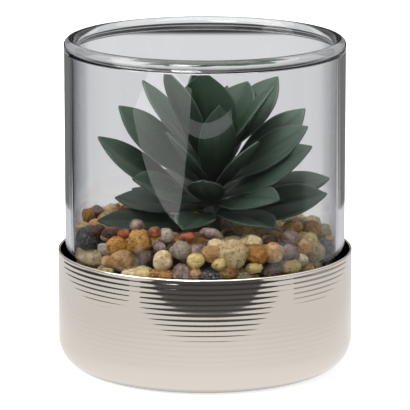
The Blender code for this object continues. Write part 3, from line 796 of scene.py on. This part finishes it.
table_top, tree, shader = new_material("matt_white_table_top")
shader.inputs["Base Color"].default_value = linear(TABLE_COLOUR)
shader.inputs["Roughness"].default_value = 1.0
shader.inputs["Specular IOR Level"].default_value = 0.0
shader.inputs["Emission Color"].default_value = (1.0, 1.0, 1.0, 1.0)
shader.inputs["Emission Strength"].default_value = TABLE_GLOW
place = add_node(tree, "ShaderNodeTexCoord")
broad = add_node(tree, "ShaderNodeMapping", [("Vector", place.outputs["Object"])])
broad.inputs["Scale"].default_value = (1.35, 1.0, 1.0)
reach = add_node(tree, "ShaderNodeVectorMath", [(0, broad.outputs["Vector"])], operation="LENGTH")
near = add_node(tree, "ShaderNodeMapRange", [("Value", reach.outputs["Value"])],
                From_Min=0.06, From_Max=0.17, To_Min=MIRRORED_NEAR, To_Max=MIRRORED_OFF)
radius = add_node(tree, "ShaderNodeVectorMath", [(0, place.outputs["Object"])], operation="LENGTH")
contact = add_node(tree, "ShaderNodeMapRange", [("Value", radius.outputs["Value"])],
                   From_Min=0.040, From_Max=0.046, To_Min=SHADE_UNDER_CUP, To_Max=1.0)
near_lit = add_node(tree, "ShaderNodeMath", [(0, near.outputs["Result"]), (1, contact.outputs["Result"])],
                    operation="MULTIPLY")
path = add_node(tree, "ShaderNodeLightPath")
mirrored = add_node(tree, "ShaderNodeMath", [(0, path.outputs["Glossy Depth"])], operation="GREATER_THAN")
mirrored.inputs[1].default_value = 0.5
level = add_node(tree, "ShaderNodeMix",
                 [("Factor", mirrored.outputs["Value"]), (3, near_lit.outputs["Value"])], data_type="FLOAT")
level.inputs[2].default_value = SEEN_THROUGH_GLASS
across = add_node(tree, "ShaderNodeSeparateXYZ", [("Vector", place.outputs["Object"])])
far_behind = add_node(tree, "ShaderNodeMapRange", [("Value", across.outputs["Y"])],
                      From_Min=FAR_DARK_FROM, From_Max=FAR_DARK_TO, To_Min=1.0, To_Max=FAR_DARK)
both_walls = add_node(tree, "ShaderNodeMath", [(0, path.outputs["Transmission Depth"])],
                      operation="GREATER_THAN")
both_walls.inputs[1].default_value = BOTH_WALLS
far_level = add_node(tree, "ShaderNodeMath",
                     [(0, far_behind.outputs["Result"]), (1, both_walls.outputs["Value"])],
                     operation="MAXIMUM")
lighted = add_node(tree, "ShaderNodeMath", [(0, level.outputs[0]), (1, far_level.outputs["Value"])],
                   operation="MULTIPLY")
unshaded = add_node(tree, "ShaderNodeEmission", [("Strength", lighted.outputs["Value"])],
                    Color=(0.99, 1.0, 1.005, 1.0))
seen = add_node(tree, "ShaderNodeMixShader",
                [("Fac", path.outputs["Is Camera Ray"]), (1, unshaded.outputs["Emission"]),
                 (2, shader.outputs["BSDF"])])
tree.links.new(seen.outputs["Shader"], tree.nodes["Material Output"].inputs["Surface"])
bpy.ops.mesh.primitive_plane_add(size=TABLE_SIZE, location=(0.0, 0.0, -TABLE_DROP))
table = bpy.context.active_object
table.name = "table"
table.data.materials.append(table_top)


def flag(name, corners, brightness, far_brightness=None):
    """A flat card that shows only in mirrored rays, with a brightness near the jar and one further off."""
    mesh = bpy.data.meshes.new(name)
    mesh.from_pydata(corners, [], [range(len(corners))])
    card = bpy.data.objects.new(name, mesh)
    bpy.context.scene.collection.objects.link(card)
    made = bpy.data.materials.new(name)
    made.use_nodes = True
    tree = made.node_tree
    tree.nodes.clear()
    path = add_node(tree, "ShaderNodeLightPath")
    mirrored = add_node(tree, "ShaderNodeMath", [(0, path.outputs["Glossy Depth"])], operation="GREATER_THAN")
    mirrored.inputs[1].default_value = 0.5
    place = add_node(tree, "ShaderNodeTexCoord")
    reach = add_node(tree, "ShaderNodeVectorMath", [(0, place.outputs["Object"])], operation="LENGTH")
    level = add_node(tree, "ShaderNodeMapRange", [("Value", reach.outputs["Value"])],
                     From_Min=0.14, From_Max=0.26, To_Min=brightness,
                     To_Max=brightness if far_brightness is None else far_brightness)
    clear = add_node(tree, "ShaderNodeBsdfTransparent")
    glow = add_node(tree, "ShaderNodeEmission", [("Strength", level.outputs["Result"])])
    mix = add_node(tree, "ShaderNodeMixShader", [("Fac", mirrored.outputs["Value"]),
                                                 (1, clear.outputs["BSDF"]), (2, glow.outputs["Emission"])])
    add_node(tree, "ShaderNodeOutputMaterial", [("Surface", mix.outputs["Shader"])])
    mesh.materials.append(made)
    card.visible_camera = False
    card.visible_diffuse = False
    card.visible_shadow = False
    return card


def laid_level(outline, height):
    """Corners of a card that lies level at that height."""
    return [(x, y, height) for x, y in outline]


# Outlines of the dark cards round the table and of the two white papers, seen from above, in metres.
FRONT_EDGE = (
    (0.0, TABLE_FRONT), (-0.070, -0.145), (-0.110, -0.148), (-0.156, -0.152), (-1.25, -1.01), (-1.25, -1.6),
    (1.43, -1.6), (1.43, -0.816), (0.216, -0.152), (0.155, -0.143), (0.080, -0.138),
)
LEFT_EDGE = (
    (-TABLE_LEFT, -0.130), (-TABLE_LEFT, 0.030), (-0.172, 0.080), (-0.150, 0.125), (-0.70, 1.09),
    (-1.25, -0.80),
)
RIGHT_EDGE = ((TABLE_RIGHT, -0.091), (1.42, -0.45), (0.80, 1.00), (0.150, 0.125), (0.178, 0.070))
PAPER_LEFT = ((-0.46, -0.60), (-0.108, -0.60), (-0.108, -0.285), (-0.46, -0.285))
PAPER_FRONT = ((-0.108, -0.523), (0.19, -0.523), (0.19, -0.485), (-0.108, -0.485))

flag("dark_room_front", laid_level(FRONT_EDGE, CARD_LIFT), 0.11, 0.035)
flag("dark_room_left", laid_level(LEFT_EDGE, CARD_LIFT), 0.14, 0.03)
flag("dark_room_right", laid_level(RIGHT_EDGE, CARD_LIFT), 0.40, 0.30)
paper_left = flag("white_paper_left", laid_level(PAPER_LEFT, 3 * CARD_LIFT), 2.2)
paper_front = flag("white_paper_front", laid_level(PAPER_FRONT, 3 * CARD_LIFT), 1.7)
for paper in (paper_left, paper_front):
    paper.visible_transmission = False


def wedge_card(name, start_deg, end_deg, near, far, height, brightness):
    """A level card between two directions from the jar, given from +X towards +Y."""
    outline = []
    for radius, angles in ((near, (start_deg, end_deg)), (far, (end_deg, start_deg))):
        for i in range(9):
            angle = math.radians(angles[0] + (angles[1] - angles[0]) * i / 8)
            outline.append((radius * math.cos(angle), radius * math.sin(angle)))
    return flag(name, laid_level(outline, height), brightness)


wedge_card("dark_room_further_off", 185, 355, 0.262, 1.6, 2 * CARD_LIFT, 0.05)
wedge_card("dark_room_behind_left", 92, 130, 0.27, 0.64, CARD_LIFT, 0.20)
wedge_card("dark_room_behind_right", 50, 88, 0.27, 0.64, CARD_LIFT, 0.20)

# The world is white to the eye, one grey to matt surfaces, and to glass and metal dark only where a ray
# goes off straight behind the jar, with a thin pale streak in the middle for the glint in the rim.
ROOM_BEHIND = 0.048
WORLD_ON_MATT = 0.4
STREAK = 0.35

world = bpy.data.worlds.new("soft_studio")
bpy.context.scene.world = world
world.use_nodes = True
tree = world.node_tree
tree.nodes.clear()
direction = add_node(tree, "ShaderNodeTexCoord")
split = add_node(tree, "ShaderNodeSeparateXYZ", [("Vector", direction.outputs["Generated"])])
sideways = add_node(tree, "ShaderNodeMath", [(0, split.outputs["X"])], operation="ABSOLUTE")
beside = add_node(tree, "ShaderNodeMapRange", [("Value", sideways.outputs["Value"])],
                  From_Min=0.10, From_Max=0.15)
above = add_node(tree, "ShaderNodeMapRange", [("Value", split.outputs["Z"])], From_Min=0.60, From_Max=0.72)
in_front = add_node(tree, "ShaderNodeMath", [(0, split.outputs["Y"])], operation="LESS_THAN")
in_front.inputs[1].default_value = 0.0
low = add_node(tree, "ShaderNodeMapRange", [("Value", split.outputs["Z"])], From_Min=0.05, From_Max=0.08,
               To_Min=1.0, To_Max=0.0)
streak_width = add_node(tree, "ShaderNodeMapRange", [("Value", sideways.outputs["Value"])],
                        From_Min=0.008, From_Max=0.016, To_Min=STREAK, To_Max=0.0)
streak_height = add_node(tree, "ShaderNodeMapRange", [("Value", split.outputs["Z"])],
                         From_Min=0.20, From_Max=0.30, To_Min=1.0, To_Max=0.0)
streak = add_node(tree, "ShaderNodeMath",
                  [(0, streak_width.outputs["Result"]), (1, streak_height.outputs["Result"])],
                  operation="MULTIPLY")
light_parts = [beside.outputs["Result"], above.outputs["Result"], in_front.outputs["Value"],
               streak.outputs["Value"], low.outputs["Result"]]
light_part = light_parts[0]
for part in light_parts[1:]:
    both = add_node(tree, "ShaderNodeMath", [(0, light_part), (1, part)], operation="MAXIMUM")
    light_part = both.outputs["Value"]
walls = add_node(tree, "ShaderNodeMapRange", [("Value", split.outputs["Z"])], From_Min=0.3, From_Max=0.85,
                 To_Min=0.48, To_Max=1.4)
room = add_node(tree, "ShaderNodeMix", [("Factor", light_part), (3, walls.outputs["Result"])],
                data_type="FLOAT")
room.inputs[2].default_value = ROOM_BEHIND
path = add_node(tree, "ShaderNodeLightPath")
on_matt = add_node(tree, "ShaderNodeMath", [(0, path.outputs["Diffuse Depth"])], operation="GREATER_THAN")
on_matt.inputs[1].default_value = 0.5
ambient = add_node(tree, "ShaderNodeMix", [("Factor", on_matt.outputs["Value"]), (2, room.outputs[0])],
                   data_type="FLOAT")
ambient.inputs[3].default_value = WORLD_ON_MATT
glow = add_node(tree, "ShaderNodeMix",
                [("Factor", path.outputs["Is Camera Ray"]), (2, ambient.outputs[0])], data_type="FLOAT")
glow.inputs[3].default_value = 1.0
sky = add_node(tree, "ShaderNodeBackground", [("Strength", glow.outputs[0])], Color=(1.0, 1.0, 1.0, 1.0))
add_node(tree, "ShaderNodeOutputWorld", [("Surface", sky.outputs["Background"])])


def softbox(name, place, aim, width, height, power):
    """A large soft lamp aimed at a point."""
    data = bpy.data.lights.new(name, "AREA")
    data.shape = "RECTANGLE"
    data.size = width
    data.size_y = height
    data.energy = power
    lamp = bpy.data.objects.new(name, data)
    lamp.location = place
    lamp.rotation_euler = (Vector(aim) - Vector(place)).to_track_quat("-Z", "Y").to_euler()
    bpy.context.scene.collection.objects.link(lamp)
    return lamp


softbox("softbox_above", (-0.15, -0.1, 1.1), (0, 0, 0.05), 1.2, 1.2, 13.0)
softbox("softbox_left", (-0.9, -0.35, 0.55), (0, 0, 0.06), 0.6, 0.6, 4.0)
softbox("softbox_front", (-0.35, -1.0, 0.95), (0, 0, 0.05), 0.5, 0.5, 11.0)

# Camera. It stands a little above the jar's rim, straight in front, as far off as the rims' ovals say.
VIEW_DISTANCE = 1.203
VIEW_AIM = 54.85 * MM
VIEW_LENS = 310.7
SENSOR = 36.0

camera_data = bpy.data.cameras.new("camera")
camera_data.sensor_width = SENSOR
camera_data.lens = VIEW_LENS
camera = bpy.data.objects.new("camera", camera_data)
camera.location = (0.0, -VIEW_DISTANCE * math.cos(VIEW_RISE),
                   VIEW_AIM + VIEW_DISTANCE * math.sin(VIEW_RISE))
camera.rotation_euler = (math.pi / 2 - VIEW_RISE, 0.0, 0.0)
bpy.context.scene.collection.objects.link(camera)
bpy.context.scene.camera = camera
bpy.context.scene.view_settings.view_transform = "Standard"
